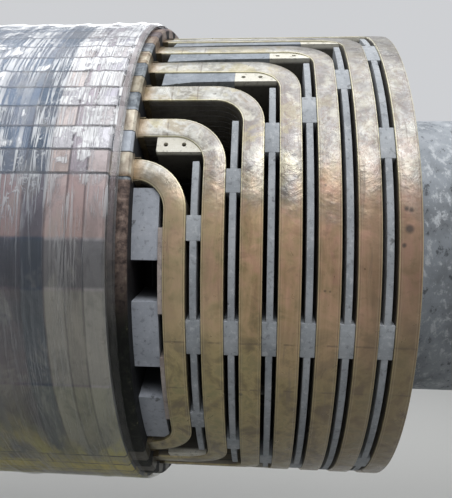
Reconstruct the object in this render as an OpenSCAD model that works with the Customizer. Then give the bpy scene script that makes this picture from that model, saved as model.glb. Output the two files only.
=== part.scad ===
// Two-pole cylindrical generator rotor with both retaining rings off, so that its end windings show.
// The axis lies along X. The coupling face is at X = 0 with the origin at its centre, and +Z is up.
// The photographed end winding is the one at the far end, away from the coupling.

/* [Body] */
// Radius of the forged body over its teeth and pole faces
body_r = 530; // [510:1:600]
// Length of the forged body between its two shoulders
body_len = 2600; // [1800:10:3600]
// Step down from the body to the shrink seat of the retaining ring
seat_step = 10; // [6:1:14]
// Length of the shrink seat beyond the shoulder
seat_len = 32; // [20:1:45]
// Turn of the pole axis below the horizontal
pole_droop = 16.5; // [0:0.5:45]
// Number of cross slots that even out the body's stiffness, in each pole face
cross_slots = 12; // [8:2:14]
// Distance from one cross slot to the next
cross_slot_pitch = 150; // [120:5:160]
// Width of a cross slot
cross_slot_w = 12; // [8:1:20]
// Depth of a cross slot at the middle of the pole face
cross_slot_depth = 50; // [30:1:56]
// Radius of the cutter that the cross slots are milled with
cutter_r = 600; // [400:10:640]

/* [Shaft] */
// Radius of the coupling flange
flange_r = 400; // [330:1:480]
// Thickness of the coupling flange
flange_t = 120; // [80:1:160]
// Number of coupling bolt holes
bolt_count = 16; // [8:1:20]
// Diameter of a coupling bolt hole
bolt_d = 52; // [30:1:60]
// Pitch circle diameter of the coupling bolts
bolt_pcd = 660; // [600:1:700]
// Radius of the neck behind the flange
neck_r = 215; // [205:1:230]
// Length of the neck behind the flange
neck_len = 180; // [120:1:300]
// Radius of a bearing journal
journal_r = 200; // [180:1:204]
// Length of a bearing journal
journal_len = 420; // [300:1:500]
// Radius of the oil collar beside a journal
collar_r = 232; // [225:1:260]
// Length of the oil collar
collar_len = 60; // [40:1:80]
// Radius of the seal land
seal_r = 222; // [215:1:231]
// Length of the seal land
seal_len = 260; // [200:1:400]
// Radius of the fan seat
fan_seat_r = 265; // [250:1:300]
// Length of the fan seat
fan_seat_len = 180; // [120:1:240]
// Radius of the shaft under an end winding
root_r = 320; // [300:1:345]
// Length of the shaft between the body's shoulder and the fan seat
root_len = 700; // [620:1:900]
// Radius of the plain stub beyond the far journal
stub_r = 150; // [120:1:180]
// Length of the plain stub beyond the far journal
stub_len = 260; // [150:1:400]
// Radius of the fillet where the shaft meets the body
root_fillet = 30; // [15:1:40]
// Radius of the fillets at the shaft's other steps
shaft_fillet = 12; // [6:1:14]
// Radius of the fillet behind the flange
flange_fillet = 40; // [20:1:60]
// Chamfer of the shaft's and the body's edges
edge_chamfer = 4; // [2:0.5:6]

/* [Winding] */
// Depth of the coils' outer face below the body's surface
winding_sink = 30; // [26:1:40]
// Radial depth of a coil
coil_depth = 120; // [100:1:130]
// Width of a copper strap
strap_w = 36.5; // [30:0.5:38]
// Number of coils on a pole
coils = 7; // [5:1:8]
// Number of equal slot pitches around the body, wound or not
slot_pitches = 40; // [40:2:44]
// Distance from the body's shoulder to the first end turn
first_turn = 83; // [78:1:100]
// Distance from one end turn to the next
turn_pitch = 61; // [58:1:64]
// Inner radius of a coil's rounded corners
corner_r = 50; // [40:1:52]

/* [Slots] */
// Thickness of a slot liner
liner_t = 2.2; // [1.5:0.1:3]
// How far the slot liners stand out of the shrink seat
liner_proud = 10; // [5:1:14]
// Half width of a slot wedge at its foot
wedge_foot = 25; // [23:0.5:26]
// Half width of a slot wedge at the surface
wedge_top = 20.5; // [15:0.5:22]
// Height of a wedge's straight foot
wedge_foot_h = 5; // [4:0.5:6]
// Height of a wedge's slanted flank
wedge_flank_h = 7; // [6:0.5:8]

/* [Blocking] */
// Width of the strip that stands in each gap between end turns
strip_w = 11; // [8:0.5:14]
// How far strips and blocks stay below the winding's surface
block_sink = 3; // [1:0.5:8]
// Radial depth of strips and blocks
block_depth = 100; // [80:1:110]
// Arc of the blocks at the pole centre, in degrees
centre_arc = 6.8; // [5:0.1:9]
// Arc of the blocks beside the corners, in degrees
side_arc = 6.6; // [4:0.1:8]
// Arc of the blocks beside the corners in the two gaps nearest the body, in degrees
near_side_arc = 4.7; // [4:0.1:8]
// Arc of the blocks beside the corners in the gap farthest from the body, in degrees
last_side_arc = 8.6; // [5:0.1:9]
// Turn back from a coil's leg to its side block, in degrees
side_back = 20; // [18:0.5:24]
// Turn back from a coil's leg to its side block in the two gaps before the farthest, in degrees
outer_side_back = 22.4; // [20:0.1:24]
// Place of the last gap's extra blocks, as a share of the angle of its side blocks
extra_place = 0.57; // [0.4:0.01:0.7]
// Turn back from a coil's leg to the end of its strip, in degrees
strip_back = 7.2; // [7:0.1:9]
// Distance from the shoulder to the near end of the packers between legs
packer_start = 60; // [55:1:70]
// Length over which a packer keeps its taper, as a share of the way to its drilled end
taper_place = 0.6; // [0.4:0.05:0.8]
// Length of the drilled end of a packer
drilled_len = 74; // [60:1:76]
// Width of the drilled end of a packer
drilled_w = 29; // [24:1:30]
// Diameter of the holes in a packer
packer_hole_d = 8; // [5:0.5:12]
// Depth of the holes in a packer
packer_hole_depth = 33; // [15:1:45]
// Distance from a packer's drilled end's start to its first hole
packer_hole_from = 15; // [10:1:20]
// Distance between the two holes
packer_hole_pitch = 30; // [20:1:34]
// Length along the shaft of the pole blocks
pole_block_len = 43; // [36:1:43]
// Half arc of the middle pole block, in degrees
pole_mid_arc = 6.7; // [5:0.1:8]
// Arc from the pole axis to the near end of a side pole block, in degrees
pole_side_from = 14.5; // [13:0.1:16]
// Arc from the pole axis to the far end of a side pole block, in degrees
pole_side_to = 28; // [26:0.1:29]
// Arc from the pole axis to the near end of a pole liner, in degrees
pole_liner_from = 4.5; // [2:0.1:6]
// Arc from the pole axis to the far end of a pole liner, in degrees
pole_liner_to = 20.5; // [15:0.1:21]

/* [Wrap] */
// Thickness that the clear film round the body takes up
film_t = 1.5; // [1:0.1:3]

/* [Hidden] */
$fn = 96;
// Clearance between pieces that fit together
fit = 0.3;
// Overrun of cutting shapes past the faces that they cut
over = 5;
// Step at the brazed joints between a coil's sides and its end arcs
joint_step = 0.1;
// Spare length past a corner before the end turn's own arc starts
bend_margin = 1;
// How much wider a packer is at the end of its taper than at its drilled end
packer_flare = 2;
slot_step = 360 / slot_pitches;
seat_r = body_r - seat_step;
winding_r = body_r - winding_sink;
winding_in_r = winding_r - coil_depth;
liner_top_in = sqrt(pow(winding_in_r, 2) - pow(strap_w / 2, 2)) - fit;
slot_floor = liner_top_in - liner_t;
slot_half = strap_w / 2 + fit + liner_t;
wedge_low = winding_r + fit;
seal_start = root_len + fan_seat_len;
collar_start = seal_start + seal_len;
journal_start = collar_start + collar_len;
journal_end = journal_start + journal_len;
end_len = journal_end + neck_len;
body_start = flange_t + end_len;
body_mid = body_start + body_len / 2;
corner_out_r = corner_r + strap_w;
turn_gap = turn_pitch - strap_w;
collar_fillet = (collar_r - seal_r) / 2;
neck_fillet = (neck_r - journal_r) / 2;

// Angle from the pole axis to the leg of coil k
function leg_angle(k) = 90 - slot_step / 2 - (coils - k) * slot_step;
// Distance from the shoulder to the near face of end turn k
function turn_near(k) = first_turn + (k - 1) * turn_pitch;
// Distance from the shoulder to the far face of end turn k
function turn_far(k) = turn_near(k) + strap_w;
// Arc of the side blocks in the gap outside end turn k
function side_arc_at(k) = k <= 2 ? near_side_arc : k == coils - 1 ? last_side_arc : side_arc;
// Angle from the pole axis to the middle of the side blocks in the gap outside end turn k
function side_angle(k) = leg_angle(k + 1) - (k == coils - 2 || k == coils - 3 ? outer_side_back : side_back);

// From the winding's own axes, with Z along the shaft and X along pole A, to the part's axes
module place() {
    rotate([pole_droop - 90, 0, 0]) rotate([0, 90, 0]) children();
}

// Puts what is drawn from a shoulder outwards at the coupling end or at the far end
module at_end(far) {
    translate([0, 0, body_mid]) mirror([0, 0, far ? 0 : 1]) translate([0, 0, body_len / 2]) children();
}

// Both sides of a pole
module both_sides() {
    for (m = [0, 1]) mirror([0, m, 0]) children();
}

// An outline of tangential X and axial Y, extruded along the radius at an angle from the pole axis
module radial_prism(angle, r_from, r_to) {
    rotate([0, 0, angle]) rotate([90, 0, 90]) translate([0, 0, r_from])
        linear_extrude(r_to - r_from) children();
}

// A block with a curved top and floor between two angles and two distances along the shaft
module arc_block(a_from, a_to, r_in, r_out, z_from, z_to) {
    rotate_extrude(start = a_from, angle = a_to - a_from)
        translate([r_in, z_from]) square([r_out - r_in, z_to - z_from]);
}

// The fillet between a cylinder of radius r and a step's face, on the face's outer or inward side
module fillet_at(r, place_z, size, inward = 0) {
    translate([r, place_z]) mirror([0, inward]) difference() {
        translate([-over, -over]) square(size + over);
        translate([size, size]) circle(size);
    }
}

// Half of the shaft's outline that both ends share, from a shoulder outwards
module shaft_outline() {
    c = edge_chamfer;
    polygon([
        [0, -over], [root_r, -over], [root_r, root_len - c], [root_r - c, root_len],
        [fan_seat_r, root_len], [fan_seat_r, seal_start - c], [fan_seat_r - c, seal_start],
        [seal_r, seal_start], [seal_r, collar_start],
        [collar_r - c, collar_start], [collar_r, collar_start + c],
        [collar_r, journal_start - c], [collar_r - c, journal_start],
        [journal_r, journal_start], [journal_r, journal_end], [0, journal_end]
    ]);
    fillet_at(root_r, seat_len, root_fillet);
    fillet_at(fan_seat_r, root_len, shaft_fillet);
    fillet_at(seal_r, seal_start, shaft_fillet);
    fillet_at(seal_r, collar_start, collar_fillet, 1);
    fillet_at(journal_r, journal_start, shaft_fillet);
}

// Half of the outline of the neck and the coupling flange, from a shoulder outwards
module flange_outline() {
    c = edge_chamfer;
    face = end_len + flange_t;
    polygon([
        [0, journal_end - over], [journal_r, journal_end - over], [journal_r, journal_end],
        [neck_r - c, journal_end], [neck_r, journal_end + c], [neck_r, end_len],
        [flange_r - c, end_len], [flange_r, end_len + c], [flange_r, face - c], [flange_r - c, face],
        [0, face]
    ]);
    fillet_at(journal_r, journal_end, neck_fillet, 1);
    fillet_at(neck_r, end_len, flange_fillet, 1);
}

// Half of the outline of the far end's stub, from a shoulder outwards
module stub_outline() {
    tip = journal_end + stub_len;
    c = edge_chamfer;
    polygon([
        [0, journal_end - over], [stub_r, journal_end - over], [stub_r, tip - c], [stub_r - c, tip], [0, tip]
    ]);
    fillet_at(stub_r, journal_end, shaft_fillet);
}

module slot_shape(half, foot, top, low, r_out) {
    polygon([
        [low, -half], [wedge_low, -half], [wedge_low, -foot], [wedge_low + wedge_foot_h, -foot],
        [wedge_low + wedge_foot_h + wedge_flank_h, -top], [r_out, -top],
        [r_out, top], [wedge_low + wedge_foot_h + wedge_flank_h, top],
        [wedge_low + wedge_foot_h, foot], [wedge_low, foot], [wedge_low, half], [low, half]
    ]);
}

module wedge_shape(r_out) {
    polygon([
        [wedge_low, -wedge_foot], [wedge_low + wedge_foot_h, -wedge_foot],
        [wedge_low + wedge_foot_h + wedge_flank_h, -wedge_top], [r_out, -wedge_top],
        [r_out, wedge_top], [wedge_low + wedge_foot_h + wedge_flank_h, wedge_top],
        [wedge_low + wedge_foot_h, wedge_foot], [wedge_low, wedge_foot]
    ]);
}

// Every slot of both poles
module each_slot() {
    for (pole = [0, 180], side = [-1, 1], k = [1 : coils])
        rotate([0, 0, pole + side * leg_angle(k)]) children();
}

// Half of the body's outline with its two shrink seats, about the body's middle
module body_outline() {
    c = edge_chamfer;
    half = body_len / 2;
    end = half + seat_len;
    polygon([
        [0, -end], [seat_r - c, -end], [seat_r, c - end], [seat_r, -half],
        [body_r - c, -half], [body_r, c - half], [body_r, half - c], [body_r - c, half],
        [seat_r, half], [seat_r, end - c], [seat_r - c, end], [0, end]
    ]);
}

// The shaft and body in one piece, before the slots are milled
module forging_blank() {
    translate([0, 0, body_mid]) rotate_extrude() {
        body_outline();
        for (m = [0, 1]) mirror([0, m]) translate([0, body_len / 2]) shaft_outline();
        translate([0, body_len / 2]) stub_outline();
        mirror([0, 1]) translate([0, body_len / 2]) flange_outline();
    }
}

// The milled crescents across the middle of both pole faces
module cross_slot_cuts() {
    for (pole = [0, 180], i = [0 : cross_slots - 1]) rotate([0, 0, pole])
        translate([body_r + cutter_r - cross_slot_depth, 0, (i - (cross_slots - 1) / 2) * cross_slot_pitch])
        cylinder(r = cutter_r, h = cross_slot_w, center = true);
}

module rotor_forging() {
    slot_run = body_len + 2 * seat_len + 2 * over;
    place() color("dimgray") difference() {
        forging_blank();
        translate([0, 0, body_mid]) {
            each_slot() translate([0, 0, -slot_run / 2]) linear_extrude(slot_run)
                slot_shape(slot_half, wedge_foot + fit, wedge_top + fit, slot_floor, body_r + over);
            cross_slot_cuts();
        }
        for (i = [0 : bolt_count - 1]) rotate([0, 0, (i + 0.5) * 360 / bolt_count])
            translate([bolt_pcd / 2, 0, -over]) cylinder(d = bolt_d, h = flange_t + 2 * over);
    }
}

module slot_wedges() {
    wedge_run = body_len + 2 * seat_len;
    place() color("peru") translate([0, 0, body_mid]) intersection() {
        rotate_extrude() body_outline();
        each_slot() translate([0, 0, -wedge_run / 2]) linear_extrude(wedge_run) wedge_shape(body_r + over);
    }
}

module slot_liners() {
    liner_run = body_len + 2 * (seat_len + liner_proud);
    place() color("burlywood") translate([0, 0, body_mid]) each_slot()
        translate([slot_floor, 0, -liner_run / 2]) difference() {
            translate([0, -slot_half, 0]) cube([wedge_low - fit - slot_floor, 2 * slot_half, liner_run]);
            translate([liner_t, liner_t - slot_half, -over])
                cube([wedge_low, 2 * (slot_half - liner_t), liner_run + 2 * over]);
        }
}

// One long side of coil k with its two rounded corners, tangential X and axial Y about the body's middle
module coil_side(k, tail) {
    far = body_len / 2 + turn_far(k) - joint_step;
    w = strap_w - 2 * joint_step;
    bend_y = far - corner_r - w;
    bend_x = -w / 2 - corner_r;
    translate([-w / 2, -bend_y]) square([w, 2 * bend_y]);
    for (m = [0, 1]) mirror([0, m]) {
        translate([bend_x, bend_y]) intersection() {
            difference() {
                circle(corner_r + w);
                circle(corner_r);
            }
            square(corner_out_r + over);
        }
        translate([-tail, far - w]) square([tail + bend_x, w]);
    }
}

// Coil k of the pole at an angle: a closed loop of strap, laid in two slots and round both ends
module coil(k, pole) {
    bend_back = asin((corner_out_r - strap_w / 2 + bend_margin) / winding_in_r);
    tail = winding_r * sin(bend_back) + over;
    arc = leg_angle(k) - bend_back;
    run = body_len + 2 * turn_far(k) + 2 * over;
    place() color("sandybrown") translate([0, 0, body_mid]) rotate([0, 0, pole]) intersection() {
        rotate([0, 0, 180]) difference() {
            cylinder(r = winding_r, h = run, center = true);
            cylinder(r = winding_in_r, h = run + over, center = true);
        }
        union() {
            both_sides() radial_prism(leg_angle(k), winding_in_r - 2 * over, winding_r + over)
                coil_side(k, tail);
            for (m = [0, 1]) mirror([0, 0, m]) arc_block(
                -arc, arc, winding_in_r - 2 * over, winding_r + over,
                body_len / 2 + turn_near(k), body_len / 2 + turn_far(k)
            );
        }
    }
}

// The strip in the gap outside end turn k, with the blocks that hold the two turns apart
module gap_strip(k) {
    z0 = turn_far(k);
    r_out = winding_r - block_sink;
    r_in = r_out - block_depth;
    half_arc = leg_angle(k + 1) - strip_back;
    side = side_angle(k);
    strip_from = z0 + (turn_gap - strip_w) / 2;
    arc_block(-half_arc, half_arc, r_in, r_out, strip_from, strip_from + strip_w);
    for (a = [-side, 0, side]) {
        half = (a == 0 ? centre_arc : side_arc_at(k)) / 2;
        arc_block(a - half, a + half, r_in, r_out, z0 + fit, z0 + turn_gap - fit);
    }
    if (k == coils - 1) for (a = [-1, 1] * side * extra_place)
        arc_block(a - side_arc / 2, a + side_arc / 2, r_in, r_out, z0 + fit, z0 + turn_gap - fit);
}

module strips(pole, far) {
    place() color("slategray") at_end(far) rotate([0, 0, pole]) for (k = [1 : coils - 1]) gap_strip(k);
}

// The room inside the rounded corner of coil k, as an outline seen along the coil's own leg
module room_inside(k) {
    bend_x = strap_w / 2 - corner_out_r;
    bend_y = turn_far(k) - corner_out_r;
    edge = -strap_w / 2 - fit;
    translate([-2 * corner_out_r, 0]) square([2 * corner_out_r + edge, bend_y]);
    translate([bend_x, bend_y]) intersection() {
        circle(corner_r - fit);
        square(corner_r);
    }
    translate([-2 * corner_out_r, 0]) square([2 * corner_out_r + bend_x, turn_near(k) - fit]);
}

// What fits between the legs of coils k and k + 1, limited by their sides and by the outer coil's corner
module between_legs(k, from, to, r_in, r_out) {
    intersection() {
        radial_prism(leg_angle(k + 1), r_in, r_out) intersection() {
            room_inside(k + 1);
            translate([-2 * corner_out_r, from]) square([2 * corner_out_r, to - from]);
        }
        radial_prism(leg_angle(k), r_in - over, r_out + over)
            translate([strap_w / 2 + fit, from - over]) square([2 * corner_out_r, to - from + 2 * over]);
    }
}

// The grey tapered packer along the leg of coil k + 1
module leg_packer(k) {
    r_out = winding_r - block_sink;
    from = packer_start;
    to = turn_near(k + 1) - over - drilled_len;
    near_w = 2 * r_out * sin(slot_step / 2) - strap_w;
    intersection() {
        between_legs(k, from, to, r_out - block_depth, r_out);
        radial_prism(leg_angle(k + 1), r_out - block_depth - over, r_out + over) translate([-strap_w / 2, 0])
            polygon([
                [0, from], [0, to], [-drilled_w, to],
                [-drilled_w - packer_flare, to * taper_place], [-near_w, from]
            ]);
    }
}

// The drilled block that ends a packer in the corner of coil k + 1
module drilled_block(k) {
    r_out = winding_r - block_sink;
    to = turn_near(k + 1) - over;
    from = to - drilled_len + fit;
    difference() {
        intersection() {
            between_legs(k, from, to, r_out - block_depth, r_out);
            radial_prism(leg_angle(k + 1), r_out - block_depth - over, r_out + over)
                translate([-strap_w / 2 - drilled_w, from]) square([drilled_w, drilled_len]);
        }
        for (i = [0, 1]) radial_prism(leg_angle(k + 1), r_out - packer_hole_depth, r_out + over)
            translate([-strap_w / 2 - drilled_w / 2, from + packer_hole_from + i * packer_hole_pitch])
            circle(d = packer_hole_d);
    }
}

module each_corner(far) {
    at_end(far) for (pole = [0, 180]) rotate([0, 0, pole]) both_sides() children();
}

module leg_packers(far) {
    place() color("lightslategray") each_corner(far) for (k = [3 : coils - 1]) leg_packer(k);
}

module drilled_blocks(far) {
    place() color("tan") each_corner(far) for (k = [1, each [3 : coils - 1]]) drilled_block(k);
}

// The three blocks between the body's end face and the first end turn of one pole
module pole_blocks(far) {
    r_out = winding_r - 2 * block_sink;
    r_in = r_out - block_depth;
    from = seat_len + fit;
    to = from + pole_block_len;
    place() color("silver") at_end(far) for (pole = [0, 180]) rotate([0, 0, pole]) {
        arc_block(-pole_mid_arc, pole_mid_arc, r_in, r_out, from, to);
        both_sides() intersection() {
            arc_block(pole_side_from, pole_side_to, r_in, r_out, from, to);
            radial_prism(leg_angle(1), r_in - 2 * over, r_out + over) room_inside(1);
        }
    }
}

// The thin liners between the pole blocks and the first end turn
module pole_liners(far) {
    r_out = winding_r - block_sink;
    from = seat_len + pole_block_len + 2 * fit;
    place() color("gainsboro") at_end(far) for (pole = [0, 180]) rotate([0, 0, pole]) both_sides()
        arc_block(pole_liner_from, pole_liner_to, r_out - block_depth, r_out, from, first_turn - fit);
}

// The clear film drawn round the body
module film_wrap() {
    place() color("whitesmoke", 0.5) translate([0, 0, body_mid]) difference() {
        cylinder(r = body_r + fit + film_t, h = body_len, center = true);
        cylinder(r = body_r + fit, h = body_len + over, center = true);
    }
}

rotor_forging();
slot_wedges();
slot_liners();
coil(1, 0);  // coil_1a
coil(2, 0);  // coil_2a
coil(3, 0);  // coil_3a
coil(4, 0);  // coil_4a
coil(5, 0);  // coil_5a
coil(6, 0);  // coil_6a
coil(7, 0);  // coil_7a
coil(1, 180);  // coil_1b
coil(2, 180);  // coil_2b
coil(3, 180);  // coil_3b
coil(4, 180);  // coil_4b
coil(5, 180);  // coil_5b
coil(6, 180);  // coil_6b
coil(7, 180);  // coil_7b
strips(0, false);  // strips_a_coupling
strips(180, false);  // strips_b_coupling
strips(0, true);  // strips_a_far
strips(180, true);  // strips_b_far
leg_packers(false);  // leg_packers_coupling
leg_packers(true);  // leg_packers_far
drilled_blocks(false);  // drilled_blocks_coupling
drilled_blocks(true);  // drilled_blocks_far
pole_blocks(false);  // pole_blocks_coupling
pole_blocks(true);  // pole_blocks_far
pole_liners(false);  // pole_liners_coupling
pole_liners(true);  // pole_liners_far
film_wrap();
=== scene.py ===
"""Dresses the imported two-pole generator rotor: swept copper coils, bevelled blocks, steel and film."""

import math

import bmesh
import bpy
import numpy as np
from mathutils import Matrix, Vector


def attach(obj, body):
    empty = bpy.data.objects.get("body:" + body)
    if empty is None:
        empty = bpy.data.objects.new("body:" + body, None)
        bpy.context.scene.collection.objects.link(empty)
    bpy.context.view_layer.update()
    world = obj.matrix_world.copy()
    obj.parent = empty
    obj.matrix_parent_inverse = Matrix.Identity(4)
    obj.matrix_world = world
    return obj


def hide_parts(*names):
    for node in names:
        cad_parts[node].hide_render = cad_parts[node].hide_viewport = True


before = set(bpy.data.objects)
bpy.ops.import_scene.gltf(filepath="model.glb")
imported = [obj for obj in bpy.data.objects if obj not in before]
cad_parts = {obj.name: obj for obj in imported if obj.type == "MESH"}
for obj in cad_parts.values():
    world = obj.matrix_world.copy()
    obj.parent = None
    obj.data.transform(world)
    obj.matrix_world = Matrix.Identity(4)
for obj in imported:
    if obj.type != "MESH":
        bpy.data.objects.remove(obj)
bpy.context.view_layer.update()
rng = np.random.default_rng(7)

# The sizes of part.scad, in metres and degrees
DROOP = 16.5
WIND_R, COIL_DEPTH, STRAP_W = 0.500, 0.120, 0.0365
COILS, SLOT_STEP = 7, 9.0
FIRST_TURN, TURN_PITCH, CORNER_R = 0.083, 0.061, 0.050
BODY_R, BODY_START, BODY_LEN = 0.530, 1.920, 2.600
BODY_MID = BODY_START + BODY_LEN / 2
SHOULDER = BODY_START + BODY_LEN
SEAT_LEN, FILM_OVER = 0.032, 0.016
ROOT_LEN = 0.700
BLOCK_SINK, BLOCK_DEPTH, STRIP_W = 0.003, 0.100, 0.011
TURN_GAP = TURN_PITCH - STRAP_W
FIT = 0.0003
CENTRE_ARC, SIDE_ARC, NEAR_SIDE_ARC, LAST_SIDE_ARC = 6.8, 6.6, 4.7, 8.6
SIDE_BACK, OUTER_SIDE_BACK, STRIP_BACK, EXTRA_PLACE = 20, 22.4, 7.2, 0.57
BLOCK_OUT_R = WIND_R - BLOCK_SINK
BLOCK_IN_R = BLOCK_OUT_R - BLOCK_DEPTH
WEDGE_HALF_W = 0.0205

# The copper turns of a coil, the round of its top edges, the grooves between turns, and its lower corners
TURNS, TOP_ROUND, TURN_GROOVE, FOOT_ROUND = 10, 0.0022, 0.0006, 0.001
# How far the bend's start stays from the inner radius, and where a leg's sections lie, out from its middle
BEND_MARGIN = 0.0015
LEG_STATIONS = (0.0, BODY_LEN / 4, BODY_LEN / 2 - 0.02, BODY_LEN / 2 + 0.03, BODY_LEN / 2 + 0.045)
LEG_STEP, BEND_STEPS, ARC_STEP = 0.05, 12, 2.4
# How far the copper's pattern is shifted from coil to coil, from pole to pole, and past each bend
COIL_SHIFT, POLE_SHIFT, BEND_SHIFT = 3.7, 31.0, 0.006
# The bevel of the blocks, the steps of their arcs in degrees, and how far spacers stand out of the strips
BLOCK_BEVEL, BLOCK_ARC_STEP, SPACER_PROUD = 0.0012, 2.5, 0.0004

D2R = math.pi / 180
WEDGE_HALF_ANGLE = WEDGE_HALF_W / BODY_R / D2R


def leg_angle(k):
    """The angle of coil k's legs from the middle of their pole."""
    return 90 - SLOT_STEP / 2 - (COILS - k) * SLOT_STEP


def side_block(k):
    """The angle of the side blocks in the gap outside end turn k, and their arc."""
    back = OUTER_SIDE_BACK if k in (COILS - 2, COILS - 3) else SIDE_BACK
    arc = NEAR_SIDE_ARC if k <= 2 else LAST_SIDE_ARC if k == COILS - 1 else SIDE_ARC
    return leg_angle(k + 1) - back, arc


def turn_far(k):
    """How far the outer side of end turn k lies out from the shoulder."""
    return FIRST_TURN + (k - 1) * TURN_PITCH + STRAP_W


def to_part(p):
    """From the winding's own axes (X to pole A, Z along the shaft) to the part's axes."""
    p = np.asarray(p, float)
    c, s = math.cos(DROOP * D2R), math.sin(DROOP * D2R)
    x, y, z = p[..., 0], p[..., 1], p[..., 2]
    return np.stack([z, -c * x + s * y, -s * x - c * y], -1)


# Meshes

def add_piece(name, me, mat, replaces, sharp=None):
    """A piece of the rotor from its mesh, smooth but for edges sharper than so many degrees."""
    ob = bpy.data.objects.new(name, me)
    bpy.context.scene.collection.objects.link(ob)
    me.materials.append(mat)
    me.shade_smooth()
    if sharp:
        me.set_sharp_from_angle(angle=sharp * D2R)
    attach(ob, "root")
    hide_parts(replaces)
    return ob


def mesh_object(name, verts, faces, mat, replaces, attrs, sharp=None):
    """A piece from points and faces, with named values for its material at each point."""
    me = bpy.data.meshes.new(name)
    me.from_pydata([tuple(v) for v in verts], [], faces)
    me.validate()
    me.update()
    for key, values in attrs.items():
        a = me.attributes.new(key, "FLOAT", "POINT")
        a.data.foreach_set("value", np.asarray(values, np.float32))
    return add_piece(name, me, mat, replaces, sharp)


def coil_section():
    """The closed outline of a coil: ten turns with a rounded top turn, as lateral place and depth."""
    h, b, g = STRAP_W / 2, TOP_ROUND, TURN_GROOVE
    pitch = COIL_DEPTH / TURNS
    side = [(h - b, 0.0), (h - 0.3 * b, 0.3 * b), (h, b)]
    for i in range(1, TURNS):
        side += [(h, i * pitch - g), (h - g, i * pitch), (h, i * pitch + g)]
    side += [(h, COIL_DEPTH - FOOT_ROUND), (h - FOOT_ROUND, COIL_DEPTH)]
    return [(0.0, 0.0)] + side + [(-v, d) for v, d in reversed(side)]


def coil_quarter(k):
    """Stations of a quarter of coil k, from the middle of a leg to the middle of an end turn.

    Each is a place along the coil, a function of (v, r), and how far round the bend it is, from 0 to 1."""
    h, far = STRAP_W / 2, BODY_LEN / 2 + turn_far(k)
    bend_x, bend_y = -h - CORNER_R, far - CORNER_R - STRAP_W
    leg = leg_angle(k) * D2R
    arc = leg - math.asin((CORNER_R + h + BEND_MARGIN) / (WIND_R - COIL_DEPTH))
    out = []

    def on_leg(t, z):
        def at(v, r):
            tt, zz = t(v), z(v)
            x = math.sqrt(r * r - tt * tt)
            return (x * math.cos(leg) - tt * math.sin(leg), x * math.sin(leg) + tt * math.cos(leg), zz)
        return at

    for z in LEG_STATIONS:
        if z < bend_y:
            out.append((z, on_leg(lambda v: v, lambda v, z=z: z), 0.0))
    zs = LEG_STATIONS[-1]
    n = max(1, int((bend_y - zs) / LEG_STEP))
    for i in range(1, n + 1):
        z = zs + (bend_y - zs) * i / n
        if z > out[-1][0] + 1e-4:
            out.append((z, on_leg(lambda v: v, lambda v, z=z: z), 0.0))
    for i in range(1, BEND_STEPS + 1):
        th = math.pi / 2 * i / BEND_STEPS
        out.append((bend_y + (CORNER_R + h) * th, on_leg(
            lambda v, th=th: bend_x + (CORNER_R + h + v) * math.cos(th),
            lambda v, th=th: bend_y + (CORNER_R + h + v) * math.sin(th)), i / BEND_STEPS))
    turn_start = out[-1][0] + BEND_SHIFT
    n = max(3, round(arc / D2R / ARC_STEP))
    for i in range(n + 1):
        a = arc * (1 - i / n)
        at = lambda v, r, a=a: (r * math.cos(a), r * math.sin(a), far - h + v)
        out.append((turn_start + (arc - a) * WIND_R, at, 1.0))
    return out


def coil_mesh(k, pole):
    """Coil k of a pole as a closed loop: its points, its faces and the values for its material."""
    sec = coil_section()
    quarter = coil_quarter(k)
    half = quarter[-1][0]
    rows, along, turned = [], [], []
    for q, (sy, sz) in enumerate(((1, 1), (-1, 1), (-1, -1), (1, -1))):
        stations = quarter if q % 2 == 0 else list(reversed(quarter))
        stations = stations[1:] if q else stations
        stations = stations[:-1] if q == 3 else stations
        for s, at, bend in stations:
            ring = []
            for v, d in sec:
                x, y, z = at(v, WIND_R - d)
                ring.append((x, y * sy, z * sz))
            rows.append(ring)
            along.append(q * half + (s if q % 2 == 0 else half - s))
            turned.append(bend)
    pts = np.array(rows)
    pts[..., 2] += BODY_MID
    if pole == 1:
        pts[..., 0] *= -1
        pts[..., 1] *= -1
    pts = to_part(pts)
    ns, nr = pts.shape[:2]
    faces = []
    for i in range(ns):
        j = (i + 1) % ns
        for a in range(nr):
            b = (a + 1) % nr
            faces.append((i * nr + a, i * nr + b, j * nr + b, j * nr + a))
    lat = np.tile([v / (STRAP_W / 2) for v, d in sec], ns)
    dep = np.tile([d / COIL_DEPTH for v, d in sec], ns)
    along = np.repeat(along, nr) + COIL_SHIFT * k + POLE_SHIFT * pole
    return pts.reshape(-1, 3), faces, {"lat": lat, "dep": dep, "along": along, "bend": np.repeat(turned, nr)}


def bevelled(name, parts, mat, replaces):
    """One object of many closed prisms, with their sharp edges bevelled. A part is a list of rings."""
    bm = bmesh.new()
    for rings in parts:
        n = len(rings[0])
        vs = [[bm.verts.new(p) for p in ring] for ring in rings]
        for a, b in zip(vs[:-1], vs[1:]):
            for i in range(n):
                j = (i + 1) % n
                bm.faces.new((a[i], a[j], b[j], b[i]))
        bm.faces.new(list(reversed(vs[0])))
        bm.faces.new(vs[-1])
    bmesh.ops.recalc_face_normals(bm, faces=bm.faces)
    edges = [e for e in bm.edges if e.is_manifold and e.calc_face_angle(0) > 35 * D2R]
    bmesh.ops.bevel(
        bm, geom=edges, offset=BLOCK_BEVEL, segments=2, profile=0.6, affect="EDGES", clamp_overlap=True)
    me = bpy.data.meshes.new(name)
    bm.to_mesh(me)
    bm.free()
    return add_piece(name, me, mat, replaces, sharp=30)


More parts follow.
